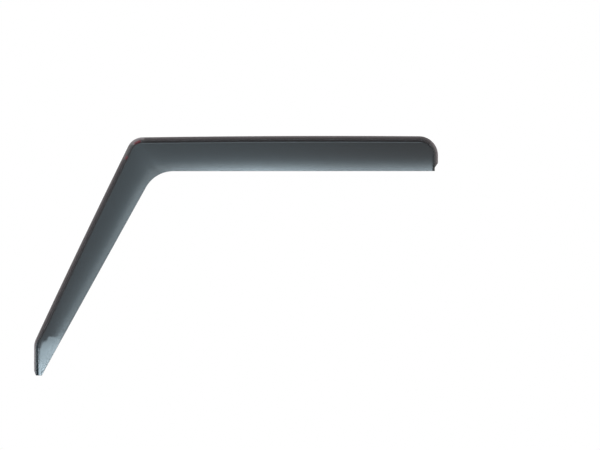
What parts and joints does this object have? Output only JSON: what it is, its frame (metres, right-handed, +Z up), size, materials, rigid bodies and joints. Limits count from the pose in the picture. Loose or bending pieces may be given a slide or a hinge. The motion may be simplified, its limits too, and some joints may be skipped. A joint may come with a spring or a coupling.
{
  "type": "window rain deflector",
  "caption": "Smoked acrylic rain deflector for a front door window, with a rail, a leg down the pillar and taped flange.",
  "frame": {"origin": "on the back of the rail's release liner, in the middle of the flange, half a rail length from the outer corner", "axes": "+X along the rail from the outer corner to the far end, +Z up, +Y from the visor towards the door it is stuck to"},
  "size_m": [0.8278, 0.0305, 0.4909],
  "materials": {
    "smoked_acrylic": "polished, see-through smoke grey",
    "foam_tape": "matt closed-cell foam",
    "release_liner": "smooth film"
  },
  "bodies": {
    "root": {"visor": "smoked_acrylic", "tape_leg": "foam_tape", "tape_rail": "foam_tape", "liner_leg": "release_liner", "liner_rail": "release_liner"}
  },
  "joints": []
}
